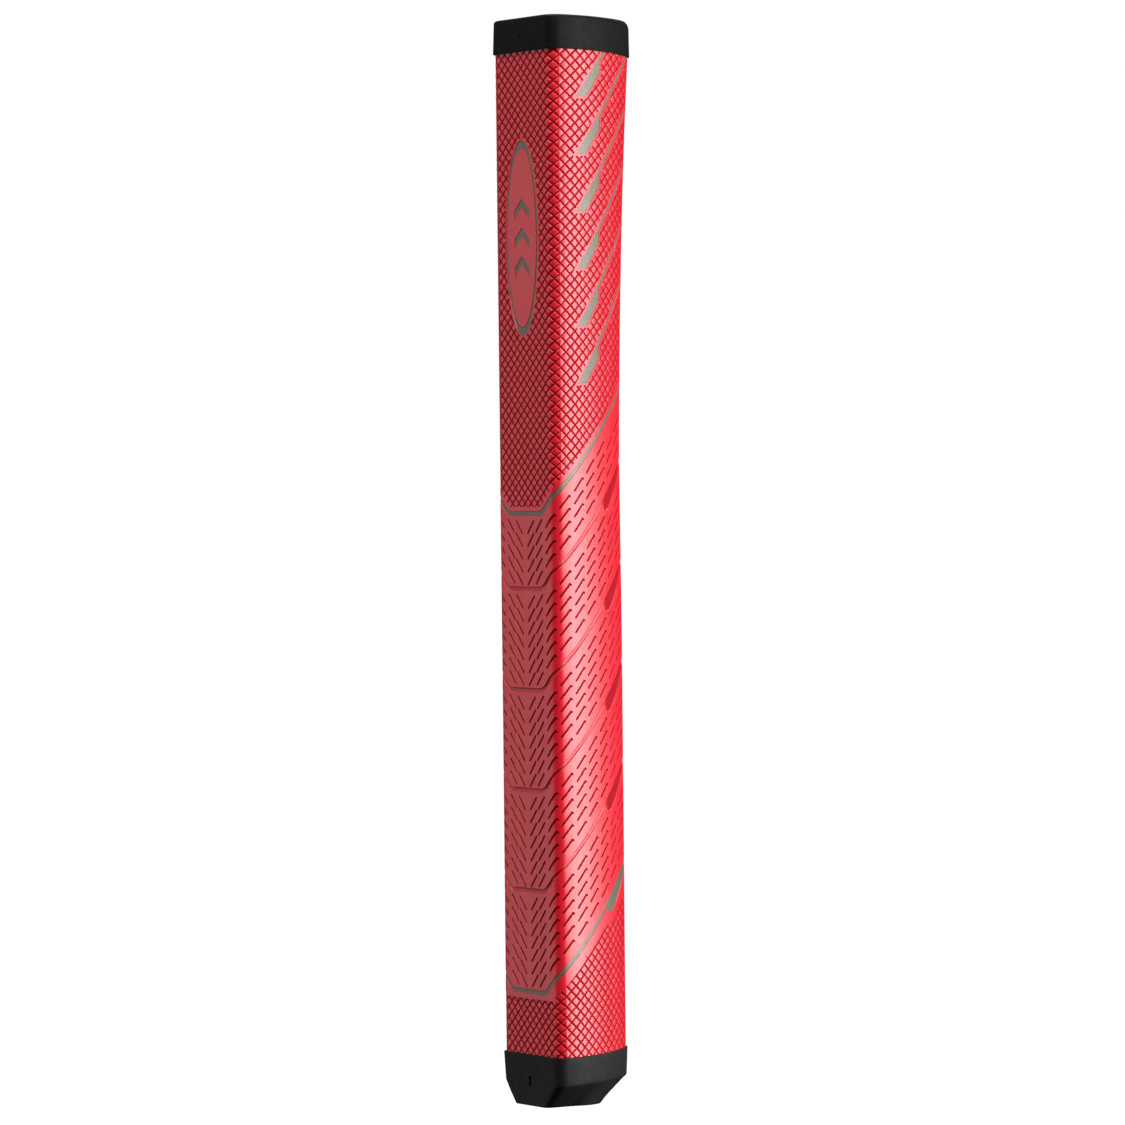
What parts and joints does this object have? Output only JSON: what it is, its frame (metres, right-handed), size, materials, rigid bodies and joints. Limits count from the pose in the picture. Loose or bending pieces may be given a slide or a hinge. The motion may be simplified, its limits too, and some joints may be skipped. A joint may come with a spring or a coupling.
{
  "type": "putter grip",
  "caption": "Oversize golf putter grip with a flat thumb face, a foam core, a cross-cut red skin with silver fills, and black end caps.",
  "frame": {"origin": "on the shaft bore's axis at the bottom face of the mouth cap", "axes": "+Z along the shaft axis towards the butt end, -Y out of the flat thumb face, +Y towards the rounded spine"},
  "size_m": [0.0288, 0.0314, 0.267],
  "materials": {
    "skin": "satin moulded polyurethane",
    "silver_fill": "satin silver paint fill",
    "cap_rubber": "matt moulded rubber",
    "foam": "matt closed-cell foam",
    "felt": "matt felt",
    "seam": "satin flexible adhesive"
  },
  "bodies": {
    "root": {"outer_skin": "skin", "felt_backing": "felt", "foam_core": "foam", "seam_filler": "seam", "butt_cap": "cap_rubber", "mouth_cap": "cap_rubber", "slash_right_1": "silver_fill", "slash_right_2": "silver_fill", "slash_right_3": "silver_fill", "slash_right_4": "silver_fill", "slash_right_5": "silver_fill", "slash_right_6": "silver_fill", "slash_left_1": "silver_fill", "slash_left_2": "silver_fill", "slash_left_3": "silver_fill", "slash_left_4": "silver_fill", "slash_left_5": "silver_fill", "slash_left_6": "silver_fill", "upper_accent": "silver_fill", "lower_accent": "silver_fill", "emblem_ring": "silver_fill", "emblem_chevron_lower": "silver_fill", "emblem_chevron_middle": "silver_fill", "emblem_chevron_upper": "silver_fill"}
  },
  "joints": []
}
